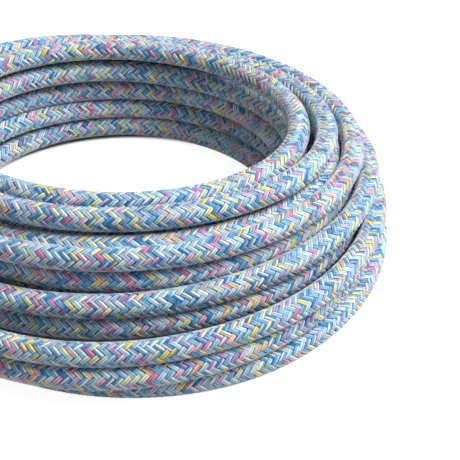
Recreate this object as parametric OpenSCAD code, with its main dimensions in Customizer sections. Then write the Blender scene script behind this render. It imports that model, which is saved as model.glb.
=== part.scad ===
// Coil of round fabric-covered flex: three insulated copper cores in a soft
// sheath, with a braided textile cover over it, wound into a loose ring that
// leans outwards towards its base.
//
// The coil's turns are one closed ring. The last stretch of the flex at each
// cut end is built piece by piece and sits in a notch of the ring, where its
// inner face meets the ring and its outer face is the cut.
//
// Millimetres, +Z up. The origin is on the surface the coil lies on, at the
// middle of the ring.

/* [Flex] */
// Outside diameter over the fabric cover
flex_d = 6.2; // [5:0.1:8]
// Wall of the braided fabric cover
cover_wall = 0.35; // [0.2:0.05:0.5]
// Diameter of one insulated core
core_d = 1.9; // [1.4:0.1:1.9]
// Diameter of the copper conductor in a core
conductor_d = 1.1; // [0.6:0.1:1.2]
// Distance between the surfaces of neighbouring cores
core_gap = 0.1; // [0.05:0.05:0.3]

/* [Coil] */
// Radius of the coil's round opening
opening_r = 45; // [36:1:90]
// Width of the ring where it lies on the surface
base_w = 29; // [24:1:60]
// Width of the flat top of the ring
top_w = 14; // [10:1:20]
// Height of the whole ring
coil_h = 36.5; // [30:0.5:60]
// Height at which the outside starts to lean in
shoulder_h = 16; // [12:1:20]
// Radius on the ring's lower edges
foot_r = 2; // [1:0.5:3]

/* [Cut ends] */
// Length of flex built piece by piece at each end
end_len = 12; // [8:1:20]
// Free space in front of each cut face
end_room = 7; // [4:1:12]
// Running gap between an end and the turns around it
end_gap = 0.3; // [0.2:0.1:0.6]
// Direction of the outer cut face, seen from above
outer_face_at = 138; // [0:1:359]
// Direction of the inner cut face, seen from above
inner_face_at = 226; // [0:1:359]

/* [Hidden] */

$fn = 96;

// The ring's outline is rounded by this radius, half of the flex
edge_r = flex_d / 2;
arc_steps = 8;

// Middle of the outermost and of the innermost turn on the surface
outer_lane_r = opening_r + base_w - flex_d / 2;
inner_lane_r = opening_r + flex_d / 2;

// The sheath fills the cover, and its three bores carry the cores
sheath_d = flex_d - 2 * cover_wall;
core_pitch_r = (core_d + core_gap) / sqrt(3);
// Turn of the three cores about the flex's own axis
core_turn = [90, 210, 330];

// Points of an arc about c, from one direction to another
function arc(c, r, from, to) = [
    for (i = [0 : arc_steps])
        let (a = from + (to - from) * i / arc_steps)
            [c[0] + r * cos(a), c[1] + r * sin(a)]
];

// Direction of the sloping outside, from the shoulder up to the top
shoulder = [opening_r + base_w - edge_r, shoulder_h];
top_corner = [opening_r + top_w - edge_r, coil_h - edge_r];
slope_at = atan2(top_corner[1] - shoulder[1], top_corner[0] - shoulder[0]) - 90;

// Section of the ring: upright on the inside, leaning in on the outside
ring_outline = concat(
    arc([opening_r + base_w - foot_r, foot_r], foot_r, -90, 0),
    arc(shoulder, edge_r, 0, slope_at),
    arc(top_corner, edge_r, slope_at, 90),
    arc([opening_r + edge_r, coil_h - edge_r], edge_r, 90, 180),
    arc([opening_r + foot_r, foot_r], foot_r, 180, 270)
);

// Angle that a length of flex takes on a lane
function turn_of(len, lane_r) = len / lane_r * 180 / PI;

// A notch for one end: its section, swept over the end and the room before it.
// way is the side of the cut face on which the end lies, +1 or -1
module notch(lane_r, face_at, way, r_from, r_to) {
    length = turn_of(end_len, lane_r);
    room = turn_of(end_room, lane_r);
    start = way > 0 ? face_at - room : face_at - length;
    rotate([0, 0, start])
        rotate_extrude(angle = length + room)
            translate([r_from, -1])
                square([r_to - r_from, flex_d + end_gap + 1]);
}

// Sweeps a section along the last stretch of the flex, beside its cut face
module end_sweep(lane_r, face_at, way) {
    length = turn_of(end_len, lane_r);
    rotate([0, 0, way > 0 ? face_at : face_at - length])
        rotate_extrude(angle = length)
            translate([lane_r, flex_d / 2])
                children();
}

module at_core(k) {
    translate([core_pitch_r * cos(core_turn[k]), core_pitch_r * sin(core_turn[k])])
        children();
}

module cover_section() {
    difference() {
        circle(d = flex_d);
        circle(d = sheath_d);
    }
}

module sheath_section() {
    difference() {
        circle(d = sheath_d);
        for (k = [0 : 2]) at_core(k) circle(d = core_d);
    }
}

module core_section(k) {
    at_core(k) difference() {
        circle(d = core_d);
        circle(d = conductor_d);
    }
}

module wire_section(k) {
    at_core(k) circle(d = conductor_d);
}

module coil() {
    color("lightsteelblue") difference() {
        rotate_extrude($fn = 180) polygon(ring_outline);
        notch(outer_lane_r, outer_face_at, -1,
              outer_lane_r - flex_d / 2 - end_gap, opening_r + base_w + 1);
        notch(inner_lane_r, inner_face_at, 1,
              opening_r - 1, inner_lane_r + flex_d / 2 + end_gap);
    }
}

// The outer end lies on the side of smaller angles than its face
module outer_sweep() {
    end_sweep(outer_lane_r, outer_face_at, -1) children();
}

// The inner end lies on the side of larger angles than its face
module inner_sweep() {
    end_sweep(inner_lane_r, inner_face_at, 1) children();
}

module outer_end_cover() {
    color("lightsteelblue") outer_sweep() cover_section();
}

module outer_end_sheath() {
    color("whitesmoke") outer_sweep() sheath_section();
}

module outer_end_core_brown() {
    color("saddlebrown") outer_sweep() core_section(0);
}

module outer_end_core_blue() {
    color("royalblue") outer_sweep() core_section(1);
}

module outer_end_core_earth() {
    color("yellowgreen") outer_sweep() core_section(2);
}

module outer_end_wire_brown() {
    color("peru") outer_sweep() wire_section(0);
}

module outer_end_wire_blue() {
    color("peru") outer_sweep() wire_section(1);
}

module outer_end_wire_earth() {
    color("peru") outer_sweep() wire_section(2);
}

module inner_end_cover() {
    color("lightsteelblue") inner_sweep() cover_section();
}

module inner_end_sheath() {
    color("whitesmoke") inner_sweep() sheath_section();
}

module inner_end_core_brown() {
    color("saddlebrown") inner_sweep() core_section(0);
}

module inner_end_core_blue() {
    color("royalblue") inner_sweep() core_section(1);
}

module inner_end_core_earth() {
    color("yellowgreen") inner_sweep() core_section(2);
}

module inner_end_wire_brown() {
    color("peru") inner_sweep() wire_section(0);
}

module inner_end_wire_blue() {
    color("peru") inner_sweep() wire_section(1);
}

module inner_end_wire_earth() {
    color("peru") inner_sweep() wire_section(2);
}

coil();
outer_end_cover();
outer_end_sheath();
outer_end_core_brown();
outer_end_core_blue();
outer_end_core_earth();
outer_end_wire_brown();
outer_end_wire_blue();
outer_end_wire_earth();
inner_end_cover();
inner_end_sheath();
inner_end_core_brown();
inner_end_core_blue();
inner_end_core_earth();
inner_end_wire_brown();
inner_end_wire_blue();
inner_end_wire_earth();
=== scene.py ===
"""Looks of a loose coil of round fabric-covered flex.

The flex is one length of braided cover wound in fourteen turns. Its route is worked out lane by
lane, the turns are settled on each other, and the braid's yarns are laid round it one by one.
"""
import math

import bpy
import mathutils
import numpy as np
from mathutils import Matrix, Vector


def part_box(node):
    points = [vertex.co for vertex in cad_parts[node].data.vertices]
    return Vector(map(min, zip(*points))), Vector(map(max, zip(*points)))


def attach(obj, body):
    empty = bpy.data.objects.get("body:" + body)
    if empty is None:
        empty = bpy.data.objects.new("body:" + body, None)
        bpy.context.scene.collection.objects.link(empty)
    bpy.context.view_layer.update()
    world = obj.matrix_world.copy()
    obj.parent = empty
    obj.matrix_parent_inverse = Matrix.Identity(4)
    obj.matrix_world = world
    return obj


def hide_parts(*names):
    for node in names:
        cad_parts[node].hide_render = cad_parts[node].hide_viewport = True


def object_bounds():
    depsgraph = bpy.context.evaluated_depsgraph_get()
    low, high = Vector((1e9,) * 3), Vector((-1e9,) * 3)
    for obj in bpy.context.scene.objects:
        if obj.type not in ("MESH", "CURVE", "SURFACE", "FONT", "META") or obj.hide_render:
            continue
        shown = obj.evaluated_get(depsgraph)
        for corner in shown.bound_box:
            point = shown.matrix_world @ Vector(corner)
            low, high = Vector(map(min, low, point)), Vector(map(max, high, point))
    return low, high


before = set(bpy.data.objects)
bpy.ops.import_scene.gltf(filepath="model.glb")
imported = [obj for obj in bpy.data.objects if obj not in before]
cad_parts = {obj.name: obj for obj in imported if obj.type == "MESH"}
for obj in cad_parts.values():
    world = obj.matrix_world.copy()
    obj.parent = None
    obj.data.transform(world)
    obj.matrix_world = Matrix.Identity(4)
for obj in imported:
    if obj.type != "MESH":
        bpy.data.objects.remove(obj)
cad_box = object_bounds()
bpy.ops.object.select_all(action="DESELECT")

MM = 0.001
ROOT = "root"

# ---- The flex ----------------------------------------------------------------------------------
end_low, end_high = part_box("outer_end_cover")
FLEX_D = end_high.z - end_low.z            # over the braid
SHEATH_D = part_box("outer_end_sheath")[1].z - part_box("outer_end_sheath")[0].z

# ---- Where the two cut ends lie, as the CAD has them -------------------------------------------
END_LENGTH = 12 * MM
OUTER_END_R = cad_box[1].x - FLEX_D / 2    # lane of the outer end, about the ring's middle
INNER_END_R = 48.1 * MM                    # lane of the inner end
OUTER_FACE_AT = 138                        # degrees, seen from above
INNER_FACE_AT = 226
STRIPE_ABOVE = FLEX_D / 2 - 0.9 * MM       # the earth core is yellow above this height, green below

# ---- The turns ---------------------------------------------------------------------------------
PILE_Y = 6.8 * MM                          # the pile's middle lies a little behind the ring's
# Each lane in winding order, up the inside wall and down the outside: radius about the pile's
# middle and height of the flex's own middle, in mm, at the right, back, left, front and front right.
LANES = [
    ((46.0, 4.0), (52.0, 4.0), (48.5, 4.5), (54.0, 3.5), (50.0, 3.5)),
    ((49.0, 9.5), (52.5, 9.0), (51.0, 11.5), (50.0, 10.8), (48.5, 11.2)),
    ((46.5, 18.0), (52.0, 16.0), (52.0, 18.5), (50.0, 19.0), (47.5, 18.5)),
    ((48.5, 22.5), (50.0, 23.0), (51.0, 25.5), (49.4, 27.4), (48.5, 26.0)),
    ((49.0, 32.0), (49.0, 30.8), (50.5, 33.8), (46.9, 34.8), (49.3, 34.0)),
    ((57.0, 29.5), (54.5, 29.0), (56.6, 34.6), (53.2, 34.2), (55.6, 33.3)),
    ((58.5, 23.6), (57.5, 24.5), (57.5, 23.6), (56.0, 28.0), (57.5, 26.4)),
    ((64.0, 26.0), (61.5, 26.0), (63.0, 27.5), (62.5, 28.8), (63.4, 28.0)),
    ((61.0, 20.5), (61.5, 20.0), (61.2, 20.5), (61.6, 22.4), (62.0, 21.3)),
    ((68.5, 19.5), (63.5, 14.5), (69.0, 18.2), (67.7, 18.5), (68.6, 19.5)),
    ((64.3, 15.0), (58.0, 13.0), (65.0, 12.0), (67.5, 12.4), (68.3, 14.8)),
    ((67.6, 15.0), (63.0, 8.0), (65.6, 12.1), (81.2, 13.2), (77.6, 14.9)),
    ((65.0, 10.0), (58.0, 7.0), (57.5, 8.6), (82.0, 7.2), (76.4, 10.4)),
    ((70.0, 4.5), (70.5, 3.5), (54.5, 3.5), (79.5, 3.5), (78.0, 4.5)),
]
STEP = 3                                   # degrees between points of the route
LAST_CHANGE_AT = 197                       # the first lane is left here, the others earlier
CHANGE_STAGGER = 5
CHANGE_WIDTH = 25
END_EASE = 35                              # degrees over which an end leaves its lane
SETTLE_ROUNDS = 60
SETTLE_EASE = 0.2
PRESSED = 0.96                             # turns press into each other's soft cover

# ---- The braid ---------------------------------------------------------------------------------
# Twenty carriers, ten wound each way, each over two and under two, so that their floats lie in
# ten columns along the flex. A float is two yarns side by side.
COLUMNS = 10
YARNS = 2
FLOAT_PITCH = 1.97 * MM                    # along the flex, between the floats of one column
FLOAT_LENGTH = 2.95 * MM                   # with the tips that dive under the next columns
YARN_WIDTH = 0.65 * MM
YARN_OVERLAP = 0.02 * MM                   # the float's yarns press into each other
BASE_R = SHEATH_D / 2 + 0.09 * MM          # the tube of crossing yarns that the floats lie on
SOCKET_R = SHEATH_D / 2 + 0.04 * MM        # inside it, round the sheath's cut ends
BASE_SIDES = 20
YARN_LOW_R = BASE_R                        # a yarn's edges
COVER_MID_R = (SHEATH_D + FLEX_D) / 4
TWIST_PER_M = 0.5                          # turns that the braid makes about the flex
# Along a yarn, from its middle to its tip: places as shares of its length, heights and widths.
YARN_PLACES = (0, 0.37, 0.5)
YARN_CROWNS = (1.0, 0.94, -0.1)
YARN_SHAPE = (1.0, 1.0, 0.85)
YARN_CREST = 0.58                          # its highest line, across it from the float's middle
YARN_INNER = 0.75                          # height of the shallow line between a float's two yarns
# How much yarns differ, as shares of the usual size, and how far a float lies off its place.
YARN_LENGTHS = (0.94, 1.06)
YARN_HEIGHTS = (0.88, 1.0)
YARN_WIDTHS = (0.88, 1.08)
FLOAT_DRIFT = 0.05 * MM
CUT_RAGGED = 0.25 * MM                     # how unevenly the yarns are cut at the ends
SEED = 7

# ---- The dyed yarn -----------------------------------------------------------------------------
# The yarn is dyed in lengths of about a float. Colour, and how much of the yarn has it: pale blues,
# strong blues, then warm colours.
DYES = [
    ("#D2DFE8", 16), ("#B8D8E8", 19), ("#86BEDA", 14),
    ("#3E9ACE", 13), ("#1078B0", 12), ("#1266A2", 5),
    ("#F6E9A0", 7), ("#E4D05C", 6), ("#EE9EC4", 7), ("#D2609E", 5), ("#F0B890", 2), ("#C2A2D2", 4),
]
FIRST_STRONG = 3
FIRST_WARM = 6
# Two plies are twisted together. The second one's colour, and how strongly it shows.
PLIES = [
    ("#FFFFFF", 0.3), ("#FFFFFF", 0.1), ("#1B74B8", 0.3), ("#C8E4F0", 0.3), ("#F4EEA8", 0.15),
]
GROOVE_SHADE_COLOUR = "#0C3A62"                     # painted shade: the yarn's colour where its neighbours shade it
MAP_SHARE = 0.9                            # a yarn takes up this much of its cell of the dye map
MATCHED_SHARE = 0.4                        # floats that take the colour of the one they meet
PAIRED_SHARE = 0.12                        # floats whose two yarns have one colour
APART_SHARE = 0.85                         # how seldom strong or warm floats follow each other

# ---- Camera ------------------------------------------------------------------------------------
CAMERA_ELEVATION = 32.4
CAMERA_DISTANCE = 416 * MM
CAMERA_LENS = 113.5
CAMERA_TARGET = (30.2 * MM, 6.8 * MM, -2.7 * MM)
CAMERA_NEAR = 10 * MM

# ---- Studio ------------------------------------------------------------------------------------
FLOOR_SIZE = 1.2
FLOOR_COLOUR = "#BABABA"
FLOOR_GLOW = 0.90                          # what the camera sees added, so that the floor reads white
# The floor has no glow, a painted shadow, from this far from the pile's middle, under the inner
# turns, to a circle under the outer turns. Each edge of that is as soft as its rim.
UNLIT_FROM_R = 51 * MM
UNLIT_MIDDLE = (8 * MM, -2.2 * MM, 0)
UNLIT_R = 64 * MM
UNLIT_RIM = 2 * MM
ROOM_LIGHT = 0.25
LAMP_AT = (0.54, -0.08, 0.76)
LAMP_SIZE = 0.6
LAMP_POWER = 11.1


def add_camera():
    """A long lens that looks down at the right half of the coil from the front."""
    camera = bpy.data.objects.new("camera", bpy.data.cameras.new("camera"))
    bpy.context.scene.collection.objects.link(camera)
    camera.data.lens = CAMERA_LENS
    tilt = math.radians(CAMERA_ELEVATION)
    camera.location = (CAMERA_TARGET[0],
                       CAMERA_TARGET[1] - CAMERA_DISTANCE * math.cos(tilt),
                       CAMERA_TARGET[2] + CAMERA_DISTANCE * math.sin(tilt))
    camera.rotation_euler = (math.pi / 2 - tilt, 0, 0)
    camera.data.clip_start = CAMERA_NEAR
    bpy.context.scene.camera = camera


def smooth(t):
    """0 to 1 with level ends."""
    t = np.clip(t, 0, 1)
    return t * t * (3 - 2 * t)


def lane_at(lane, angle):
    """Radius and height of a lane at an angle in degrees: a smooth line through its stations."""
    right, back, left, front, front_right = (np.array(p) * MM for p in LANES[lane])
    middle = (right + back + left + front) / 4
    across = (right - left) / 2
    along = (back - front) / 2
    oval = (right + left - back - front) / 4
    skew = middle + (across - along) * math.sqrt(0.5) - front_right
    a = math.radians(angle)
    return (middle + across * math.cos(a) + along * math.sin(a)
            + oval * math.cos(2 * a) + skew * math.sin(2 * a))


def pile_angle(end_r, ring_angle):
    """Direction from the pile's middle, in degrees, of a point on an end's lane."""
    a = math.radians(ring_angle)
    return math.degrees(math.atan2(end_r * math.sin(a) - PILE_Y, end_r * math.cos(a))) % 360


def end_at(end_r, angle):
    """Radius and height about the pile's middle of a cut end's own lane, at an angle in degrees."""
    s = math.sin(math.radians(angle)) * PILE_Y
    return np.array([math.sqrt(end_r ** 2 - PILE_Y ** 2 + s ** 2) - s, FLEX_D / 2])


def route_at(total):
    """Radius and height where the winding has come to that total angle."""
    lane = 0
    for k in range(1, len(LANES)):
        change = LAST_CHANGE_AT + 360 * k - CHANGE_STAGGER * (k - 1)
        if total >= change:
            lane = k
            moved = smooth((total - change) / CHANGE_WIDTH)
    here = lane_at(lane, total)
    if lane and moved < 1:
        here = (1 - moved) * lane_at(lane - 1, total) + moved * here
    near_first = smooth(1 - (total - FIRST_STRAIGHT) / END_EASE)
    near_last = smooth(1 - (LAST_STRAIGHT - total) / END_EASE)
    here = here + near_first * (end_at(INNER_END_R, total) - here)
    return here + near_last * (end_at(OUTER_END_R, total) - here)


def settle(route, held):
    """Pushes turns that lie in each other apart, keeps them on the floor and eases the bends."""
    per_turn = 360 // STEP
    for _ in range(SETTLE_ROUNDS):
        moved = route.copy()
        moved[1:-1] += SETTLE_EASE * (route[:-2] + route[2:] - 2 * route[1:-1])
        for shift in range(per_turn, len(route), per_turn):
            apart = moved[shift:] - moved[:-shift]
            gap = np.linalg.norm(apart, axis=1)[:, None]
            push = apart / gap * np.maximum(0, PRESSED * FLEX_D - gap) / 2
            moved[shift:] += push
            moved[:-shift] -= push
        moved[:, 1] = np.maximum(moved[:, 1], FLEX_D / 2)
        route = np.where(held, route, moved)
    return route


def wind_flex():
    """The points that the middle of the flex follows, from the inner cut face to the outer one."""
    first = math.ceil(FIRST_FACE / STEP) * STEP
    last = math.floor(LAST_FACE / STEP) * STEP
    totals = np.arange(first, last + 1, STEP)
    route = np.array([route_at(t) for t in totals])
    held = (totals <= FIRST_STRAIGHT + STEP) | (totals >= LAST_STRAIGHT - STEP)
    route = settle(route, held[:, None])
    totals = np.concatenate([[FIRST_FACE], totals, [LAST_FACE]])
    ends = end_at(INNER_END_R, FIRST_FACE), end_at(OUTER_END_R, LAST_FACE)
    route = np.concatenate([[ends[0]], route, [ends[1]]])
    a = np.radians(totals)
    return np.stack([route[:, 0] * np.cos(a), PILE_Y + route[:, 0] * np.sin(a), route[:, 1]], 1)


# The total angle of the winding at the two cut faces and where each end's own arc starts.
turn_of_end = math.degrees(END_LENGTH / INNER_END_R), math.degrees(END_LENGTH / OUTER_END_R)
FIRST_FACE = pile_angle(INNER_END_R, INNER_FACE_AT)
FIRST_STRAIGHT = pile_angle(INNER_END_R, INNER_FACE_AT + turn_of_end[0])
LAST_FACE = pile_angle(OUTER_END_R, OUTER_FACE_AT) + 360 * len(LANES)
LAST_STRAIGHT = pile_angle(OUTER_END_R, OUTER_FACE_AT - turn_of_end[1]) + 360 * len(LANES)


def frames_along(path):
    """Length run, and the sideways and upward directions, at each point of a level path."""
    run = np.concatenate([[0], np.cumsum(np.linalg.norm(np.diff(path, axis=0), axis=1))])
    ahead = np.gradient(path, axis=0)
    ahead /= np.linalg.norm(ahead, axis=1)[:, None]
    side = np.cross(ahead, (0, 0, 1))
    side /= np.linalg.norm(side, axis=1)[:, None]
    return run, side, np.cross(side, ahead)


def on_flex(length, turn, radius):
    """Points at those lengths along the flex, turns about it and distances from its middle."""
    middle = np.stack([np.interp(length, run, path[:, k]) for k in range(3)], -1)
    out = np.stack([np.interp(length, run, side[:, k]) for k in range(3)], -1)
    over = np.stack([np.interp(length, run, up[:, k]) for k in range(3)], -1)
    a = 2 * math.pi * (turn + TWIST_PER_M * length)
    return middle + radius[..., None] * (np.cos(a)[..., None] * out + np.sin(a)[..., None] * over)


def mesh_piece(name, points, faces, material):
    """A smooth mesh piece of the braid, riding on the coil's body."""
    mesh = bpy.data.meshes.new(name)
    mesh.from_pydata(points.tolist(), [], faces)
    mesh.shade_smooth()
    mesh.materials.append(material)
    piece = bpy.data.objects.new(name, mesh)
    bpy.context.scene.collection.objects.link(piece)
    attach(piece, ROOT)
    return piece


def add_node(tree, kind, inputs=None, **settings):
    """Adds a node, sets it up and fills its inputs with values or with other nodes' outputs."""
    node = tree.nodes.new(kind)
    for name, value in settings.items():
        setattr(node, name, value)
    for socket, value in (inputs or {}).items():
        if isinstance(value, bpy.types.NodeSocket):
            tree.links.new(value, node.inputs[socket])
        else:
            node.inputs[socket].default_value = value
    return node.outputs[0]


def new_material(name, **values):
    """An empty node material, and its shader with plain values."""
    material = bpy.data.materials.new(name)
    material.use_nodes = True
    shader = material.node_tree.nodes["Principled BSDF"]
    for socket, value in values.items():
        shader.inputs[socket.replace("_", " ")].default_value = value
    return material, material.node_tree, shader


def hex_colour(code, alpha=1):
    """Linear colour of an sRGB hex code."""
    parts = [int(code[k:k + 2], 16) / 255 for k in (1, 3, 5)]
    return [c / 12.92 if c < 0.04045 else ((c + 0.055) / 1.055) ** 2.4 for c in parts] + [alpha]


def set_bands(ramp, colours):
    """Gives a colour ramp equal plain bands."""
    ramp.interpolation = "CONSTANT"
    while len(ramp.elements) < len(colours):
        ramp.elements.new(1)
    for k, colour in enumerate(colours):
        ramp.elements[k].position = k / len(colours)
        ramp.elements[k].color = colour


def space_dyed_rayon():
    """Rayon braiding yarn of two twisted plies, dyed in short lengths: silky, with fibre streaks
    and painted navy shade in its grooves. It reads the yarns' own map, a grid of dyes by second plies."""
    material, tree, shader = new_material("space_dyed_rayon_yarn", Roughness=0.55,
                                          Sheen_Weight=0.8, Sheen_Roughness=0.45)
    uv = add_node(tree, "ShaderNodeUVMap", uv_map="OFBake")
    grid = add_node(tree, "ShaderNodeVectorMath", {0: uv, 1: (len(DYES), len(PLIES), 1)},
                    operation="MULTIPLY")
    within = add_node(tree, "ShaderNodeVectorMath", {0: grid}, operation="FRACTION")
    lane = add_node(tree, "ShaderNodeSeparateXYZ", {0: uv}).node.outputs
    dye = add_node(tree, "ShaderNodeValToRGB", {0: lane[0]})
    set_bands(dye.node.color_ramp, [hex_colour(code) for code, _ in DYES])
    ply = add_node(tree, "ShaderNodeValToRGB", {0: lane[1]})
    set_bands(ply.node.color_ramp, [hex_colour(code, amount) for code, amount in PLIES])
    # The second ply winds round the first: a slanted band across the middle of each yarn
    wind = add_node(tree, "ShaderNodeVectorMath", {0: within, 1: (0.9, 1.3, 0)},
                    operation="DOT_PRODUCT").node.outputs[1]
    wave = add_node(tree, "ShaderNodeMath", {0: wind, 1: 1.0}, operation="PINGPONG")
    shows = add_node(tree, "ShaderNodeMapRange", {0: wave, 1: 0.45, 2: 0.75, 3: 0.0, 4: 1.0})
    amount = add_node(tree, "ShaderNodeMath", {0: shows, 1: ply.node.outputs[1]},
                      operation="MULTIPLY")
    twisted = add_node(tree, "ShaderNodeMix", {0: amount, 6: dye, 7: ply},
                       data_type="RGBA").node.outputs[2]
    # Fibre streaks, two or three to a yarn's width and drawn out along it
    stretch = add_node(tree, "ShaderNodeVectorMath", {0: grid, 1: (2.6, 1.3, 1)}, operation="MULTIPLY")
    fibre = add_node(tree, "ShaderNodeTexNoise", {"Vector": stretch, "Scale": 1.0, "Detail": 2.0})
    tone = add_node(tree, "ShaderNodeMapRange", {0: fibre, 1: 0.3, 2: 0.7, 3: 0.83, 4: 1.2},
                    clamp=False)
    tones = add_node(tree, "ShaderNodeCombineColor", {0: tone, 1: tone, 2: tone})
    streaked = add_node(tree, "ShaderNodeMix", {0: 1.0, 6: twisted, 7: tones}, data_type="RGBA",
                        blend_type="MULTIPLY").node.outputs[2]
    # Painted shade: navy in the grooves between a float's two yarns, between floats, and where their
    # tips dive
    doubled = add_node(tree, "ShaderNodeVectorMath", {0: within, 1: (2, 2, 0), 2: (-1, -1, 0)},
                       operation="MULTIPLY_ADD")
    rim = add_node(tree, "ShaderNodeVectorMath", {0: doubled}, operation="ABSOLUTE")
    rims = add_node(tree, "ShaderNodeSeparateXYZ", {0: rim}).node.outputs
    across = add_node(tree, "ShaderNodeSeparateXYZ", {0: within}).node.outputs[0]
    line = add_node(tree, "ShaderNodeMapRange", {0: across, 1: 0.05, 2: 0.28, 3: 0.7, 4: 0.0})
    edge = add_node(tree, "ShaderNodeMapRange", {0: across, 1: 0.76, 2: 0.95, 3: 0.0, 4: 0.6},
                    interpolation_type="SMOOTHSTEP")
    groove = add_node(tree, "ShaderNodeMath", {0: line, 1: edge}, operation="MAXIMUM")
    dive = add_node(tree, "ShaderNodeMapRange", {0: rims[1], 1: 0.74, 2: 0.90, 3: 0.0, 4: 0.75},
                    interpolation_type="SMOOTHSTEP")
    dark = add_node(tree, "ShaderNodeMath", {0: groove, 1: dive}, operation="MAXIMUM")
    shaded_yarn_colour = add_node(tree, "ShaderNodeMix", {0: dark, 6: streaked, 7: hex_colour(GROOVE_SHADE_COLOUR)},
                       data_type="RGBA").node.outputs[2]
    tree.links.new(shaded_yarn_colour, shader.inputs["Base Color"])
    # Single filaments, a dozen to a yarn's width, for its silky grain
    thin = add_node(tree, "ShaderNodeVectorMath", {0: grid, 1: (14.0, 2.0, 1)}, operation="MULTIPLY")
    filament = add_node(tree, "ShaderNodeTexNoise", {"Vector": thin, "Scale": 1.0, "Detail": 3.0})
    height = add_node(tree, "ShaderNodeMath", {0: fibre, 1: filament}, operation="ADD")
    bump = add_node(tree, "ShaderNodeBump", {"Height": height, "Strength": 0.6, "Distance": 0.06 * MM})
    tree.links.new(bump, shader.inputs["Normal"])
    return material


def braid_underside():
    """Rayon yarn under the floats, painted dark navy for the shade they cast: matt, with the crossing
    yarns' mottle.
    """
    material, tree, shader = new_material("rayon_braid_underside", Roughness=0.9)
    place = add_node(tree, "ShaderNodeTexCoord").node.outputs["Object"]
    mottle = add_node(tree, "ShaderNodeTexNoise", {"Vector": place, "Scale": 0.5 / FLOAT_PITCH})
    ramp = add_node(tree, "ShaderNodeValToRGB", {0: mottle})
    # Painted shade of the floats on the crossing yarns: dark navy, mottled
    ramp.node.color_ramp.elements[0].color = hex_colour("#0C1830")
    ramp.node.color_ramp.elements[1].color = hex_colour("#1E3658")
    tree.links.new(ramp, shader.inputs["Base Color"])
    return material


def moulded(name, code, roughness, grain):
    """Extruded plastic: an even colour with a faint flow mottle and a fine grain."""
    material, tree, shader = new_material(name, Roughness=roughness)
    place = add_node(tree, "ShaderNodeTexCoord").node.outputs["Object"]
    mottle = add_node(tree, "ShaderNodeTexNoise", {"Vector": place, "Scale": 0.3 / MM, "Detail": 3.0})
    ramp = add_node(tree, "ShaderNodeValToRGB", {0: mottle})
    base = hex_colour(code)
    ramp.node.color_ramp.elements[0].color = [c * 0.85 for c in base[:3]] + [1]
    ramp.node.color_ramp.elements[1].color = [min(1, c * 1.1) for c in base[:3]] + [1]
    tree.links.new(ramp, shader.inputs["Base Color"])
    fine = add_node(tree, "ShaderNodeTexNoise", {"Vector": place, "Scale": 1 / grain})
    bump = add_node(tree, "ShaderNodeBump", {"Height": fine, "Strength": 0.15, "Distance": 0.05 * MM})
    tree.links.new(bump, shader.inputs["Normal"])
    return material, ramp, place


def dress_cut_ends():
    """Gives the sheath, cores and wires of both cut ends their finishes."""
    sheath = moulded("extruded_pvc_sheath", "#D9D9D4", 0.5, 0.25 * MM)[0]
    brown = moulded("brown_pvc_insulation", "#6B3D22", 0.4, 0.2 * MM)[0]
    blue = moulded("blue_pvc_insulation", "#1F63A8", 0.4, 0.2 * MM)[0]
    earth, ramp, place = moulded("green_yellow_pvc_insulation", "#2E8B3E", 0.4, 0.2 * MM)
    tree = earth.node_tree
    height = add_node(tree, "ShaderNodeSeparateXYZ", {0: place}).node.outputs[2]
    stripe = add_node(tree, "ShaderNodeMath", {0: height, 1: STRIPE_ABOVE},
                      operation="GREATER_THAN")
    striped = add_node(tree, "ShaderNodeMix", {0: stripe, 6: ramp, 7: hex_colour("#E8CF2A")},
                       data_type="RGBA").node.outputs[2]
    tree.links.new(striped, tree.nodes["Principled BSDF"].inputs["Base Color"])
    # Drawn copper wire: bright metal, with painted shade towards the hollows between its strands
    copper, tree, shader = new_material("bright_copper_strand", Metallic=1.0, Roughness=0.3)
    place = add_node(tree, "ShaderNodeTexCoord").node.outputs["Object"]
    strands = add_node(tree, "ShaderNodeTexVoronoi", {"Vector": place, "Scale": 1 / (0.25 * MM)})
    ramp = add_node(tree, "ShaderNodeValToRGB", {0: strands})
    ramp.node.color_ramp.elements[0].color = hex_colour("#E08A5C")
    ramp.node.color_ramp.elements[1].color = hex_colour("#A85B38")
    tree.links.new(ramp, shader.inputs["Base Color"])
    bump = add_node(tree, "ShaderNodeBump", {"Height": strands, "Strength": 0.6, "Distance": 0.1 * MM})
    tree.links.new(bump, shader.inputs["Normal"])
    finishes = {"sheath": sheath, "core_brown": brown, "core_blue": blue, "core_earth": earth,
                "wire_brown": copper, "wire_blue": copper, "wire_earth": copper}
    for end in ("outer_end_", "inner_end_"):
        for part, finish in finishes.items():
            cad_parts[end + part].data.materials.clear()
            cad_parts[end + part].data.materials.append(finish)


def base_tube():
    """The tube of crossing yarns on the sheath. Each end has a socket round the cut end's sheath."""
    k = np.arange(BASE_SIDES) / BASE_SIDES
    first, last = run[run <= END_LENGTH], run[run >= run[-1] - END_LENGTH]
    lengths = np.concatenate([first[::-1], run, last[::-1]])
    radii = np.full(len(lengths), BASE_R)
    radii[:len(first)] = radii[len(lengths) - len(last):] = SOCKET_R
    rings = [on_flex(np.full(BASE_SIDES, at), k, np.full(BASE_SIDES, r))
             for at, r in zip(lengths, radii)]
    start = np.arange(len(rings) - 1)[:, None] * BASE_SIDES
    side_k = np.arange(BASE_SIDES)[None]
    next_k = (side_k + 1) % BASE_SIDES
    quads = np.stack([start + side_k, start + BASE_SIDES + side_k,
                      start + BASE_SIDES + next_k, start + next_k], -1)
    last_ring = (len(rings) - 1) * BASE_SIDES
    caps = [list(range(BASE_SIDES)), list(range(last_ring + BASE_SIDES - 1, last_ring - 1, -1))]
    faces = quads.reshape(-1, 4).tolist() + caps
    return mesh_piece("flex", np.concatenate(rings), faces, braid_underside())


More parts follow.
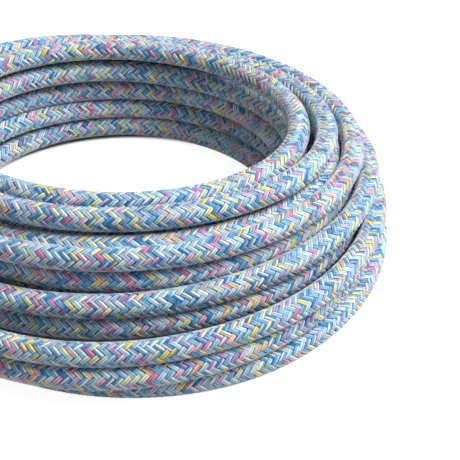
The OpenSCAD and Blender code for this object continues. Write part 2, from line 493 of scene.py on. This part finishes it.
def model_yarn():
    """One yarn of a float, of unit size: a strip arched across, narrowed and bent down at both tips.
    Its near edge lies against the float's other yarn. Also gives where each point is across it."""
    steps = 2 * (len(YARN_PLACES) - 1)
    bpy.ops.mesh.primitive_grid_add(x_subdivisions=2, y_subdivisions=steps, size=1)
    yarn = bpy.context.object
    edges = np.array([2 * v.co.x for v in yarn.data.vertices]).round()
    for v, edge in zip(yarn.data.vertices, edges):
        step = round(abs(v.co.y) * steps)
        crown = YARN_CROWNS[step]
        v.co.z = crown if edge == 0 else min(crown, YARN_INNER * crown if edge < 0 else 0)
        v.co.x = (0, YARN_CREST, 1)[int(edge) + 1] * YARN_SHAPE[step]
        v.co.y = math.copysign(YARN_PLACES[step], v.co.y)
    points = np.array([v.co for v in yarn.data.vertices])
    faces = np.array([list(p.vertices) for p in yarn.data.polygons])
    bpy.data.objects.remove(yarn)
    return points, edges, faces


def dye_floats(rows):
    """The number of the dye on each row, column and yarn of the braid."""
    shares = np.array([share for _, share in DYES], float)
    shares /= shares.sum()
    dyes = rng.choice(len(shares), (rows, COLUMNS, YARNS), p=shares)
    kind = np.digitize(np.arange(len(DYES)), (FIRST_STRONG, FIRST_WARM))
    for row in range(rows):
        for column in range(COLUMNS):
            last = dyes[row - 1, column, 0]
            # Drawn again where it is strong or warm and so is the float before it
            while dyes[row, column, 0] >= FIRST_STRONG and rng.random() < APART_SHARE and (
                    kind[dyes[row, column, 0]] == kind[last]):
                dyes[row, column, 0] = rng.choice(len(shares), p=shares)
            if column % 2 and rng.random() < MATCHED_SHARE:
                dyes[row, column, 0] = dyes[row, column - 1, 0]
            if rng.random() < PAIRED_SHARE:
                dyes[row, column, 1] = dyes[row, column, 0]
    return dyes


def braid():
    """The yarns of the whole cover, one piece to a carrier."""
    unit, edges, unit_faces = model_yarn()
    rows = int(run[-1] / FLOAT_PITCH) + 2
    dyes = dye_floats(rows)
    slope = math.atan2(2 * math.pi * COVER_MID_R, COLUMNS * FLOAT_PITCH)
    ahead, around = math.cos(slope), math.sin(slope)
    reach = (FLOAT_LENGTH * ahead + YARNS * YARN_WIDTH * around) / 2
    material = space_dyed_rayon()
    pieces = []
    for number in range(2 * COLUMNS):
        hand = 1 if number < COLUMNS else -1
        row = np.arange(-1, rows)
        column = (number + hand * row) % COLUMNS
        middle = (row + (0.5 if hand > 0 else 0)) * FLOAT_PITCH
        on_cable = (middle > -reach / 2) & (middle < run[-1] + reach / 2)
        kept = (column % 2 == (0 if hand > 0 else 1)) & on_cable
        row, column, middle = row[kept], column[kept], middle[kept]
        count = len(row)
        points, uvs, faces = [], [], []
        drift = rng.uniform(-FLOAT_DRIFT, FLOAT_DRIFT, (count, 1))
        for yarn in range(YARNS):
            side_of_float = 2 * yarn - 1
            stretch = rng.uniform(*YARN_LENGTHS, (count, 1))
            height = rng.uniform(*YARN_HEIGHTS, (count, 1))
            width = rng.uniform(*YARN_WIDTHS, (count, 1)) * YARN_WIDTH
            along = unit[None, :, 1] * FLOAT_LENGTH * stretch
            across = side_of_float * (unit[None, :, 0] * width - YARN_OVERLAP) + drift
            length = middle[:, None] + along * ahead - across * around
            # A yarn that crosses a cut end is shortened to it
            ragged = rng.uniform(0, CUT_RAGGED, (count, 1))
            low, high = middle[:, None] - reach, middle[:, None] + reach
            cut = high - (high - length) * (high - ragged) / (high - low)
            length = np.where(low < ragged, cut, length)
            top = run[-1] - ragged
            cut = low + (length - low) * (top - low) / (high - low)
            length = np.where(high > top, cut, length)
            bend = (along * around + across * ahead) / (2 * math.pi * COVER_MID_R)
            radius = YARN_LOW_R + (FLEX_D / 2 - YARN_LOW_R) * unit[None, :, 2] * height
            turn = (column[:, None] + 0.5) / COLUMNS + hand * bend
            points.append(on_flex(length, turn, radius))
            dye = dyes[row, column, yarn][:, None]
            ply = rng.integers(0, len(PLIES), (count, 1))
            uvs.append(np.stack([(dye + 0.5 + MAP_SHARE / 2 * edges) / len(DYES),
                                 (ply + 0.5 + MAP_SHARE * unit[None, :, 1]) / len(PLIES)], -1))
            first = (np.arange(count) + yarn * count) * len(unit)
            faces.append(unit_faces[:, ::hand * side_of_float] + first[:, None, None])
        points, uvs = np.concatenate(points), np.concatenate(uvs)
        faces = np.concatenate(faces).reshape(-1, 4)
        name = "carrier_%02d" % (number + 1)
        piece = mesh_piece(name, points.reshape(-1, 3), faces.tolist(), material)
        layer = piece.data.uv_layers.new(name="OFBake")
        corners = uvs.reshape(-1, 2)[faces.ravel()]
        layer.data.foreach_set("uv", corners.astype(np.float32).ravel())
        pieces.append(piece)
    return pieces


def seen_rays(tree):
    """1 for a ray from the camera, off gloss or through glass, and 0 for the light on the object."""
    rays = add_node(tree, "ShaderNodeLightPath").node.outputs
    seen = add_node(tree, "ShaderNodeMath", {0: rays["Is Camera Ray"], 1: rays["Is Glossy Ray"]},
                    operation="MAXIMUM")
    return add_node(tree, "ShaderNodeMath", {0: seen, 1: rays["Is Transmission Ray"]},
                    operation="MAXIMUM")


def add_studio():
    """A white floor and backdrop and one large soft lamp, high at the front right."""
    bpy.ops.mesh.primitive_plane_add(size=FLOOR_SIZE)
    floor = bpy.context.object
    floor.name = "floor"
    # Matt painted board: pale, with no gloss
    material, tree, shader = new_material("white_studio_floor", Roughness=0.9,
                                          Base_Color=hex_colour(FLOOR_COLOUR),
                                          Specular_IOR_Level=0.0)
    # Painted shadow: no glow under the front and right of the pile, where no light gets, so its gaps
    # show dark
    place = add_node(tree, "ShaderNodeTexCoord").node.outputs["Object"]
    from_middle = add_node(tree, "ShaderNodeVectorMath", {0: place, 1: (0, PILE_Y, 0)},
                           operation="DISTANCE").node.outputs[1]
    inside = add_node(tree, "ShaderNodeMapRange",
                      {0: from_middle, 1: UNLIT_FROM_R - UNLIT_RIM, 2: UNLIT_FROM_R,
                       3: FLOOR_GLOW, 4: 0.0})
    from_front = add_node(tree, "ShaderNodeVectorMath", {0: place, 1: UNLIT_MIDDLE},
                          operation="DISTANCE").node.outputs[1]
    outside = add_node(tree, "ShaderNodeMapRange",
                       {0: from_front, 1: UNLIT_R, 2: UNLIT_R + UNLIT_RIM,
                        3: 0.0, 4: FLOOR_GLOW})
    strength = add_node(tree, "ShaderNodeMath", {0: inside, 1: outside}, operation="MAXIMUM")
    glow = add_node(tree, "ShaderNodeMath", {0: seen_rays(tree), 1: strength},
                    operation="MULTIPLY")
    shader.inputs["Emission Color"].default_value = (1, 1, 1, 1)
    tree.links.new(glow, shader.inputs["Emission Strength"])
    floor.data.materials.append(material)
    world = bpy.data.worlds.new("studio")
    bpy.context.scene.world = world
    world.use_nodes = True
    tree = world.node_tree
    strength = add_node(tree, "ShaderNodeMapRange", {0: seen_rays(tree), 3: ROOM_LIGHT, 4: 1.0})
    tree.nodes["Background"].inputs[0].default_value = (1, 1, 1, 1)
    tree.links.new(strength, tree.nodes["Background"].inputs[1])
    lamp = bpy.data.objects.new("soft_lamp", bpy.data.lights.new("soft_lamp", "AREA"))
    bpy.context.scene.collection.objects.link(lamp)
    lamp.data.shape = "SQUARE"
    lamp.data.size = LAMP_SIZE
    lamp.data.energy = LAMP_POWER
    lamp.location = LAMP_AT
    lamp.rotation_euler = mathutils.Vector(LAMP_AT).to_track_quat("Z", "Y").to_euler()


rng = np.random.default_rng(SEED)
add_camera()
path = wind_flex()
run, side, up = frames_along(path)
print("flex length %.3f m, %d points" % (run[-1], len(path)))
flex = base_tube()
yarns = braid()
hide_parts("coil", "outer_end_cover", "inner_end_cover")
dress_cut_ends()
add_studio()
bpy.context.scene.view_settings.view_transform = "Standard"
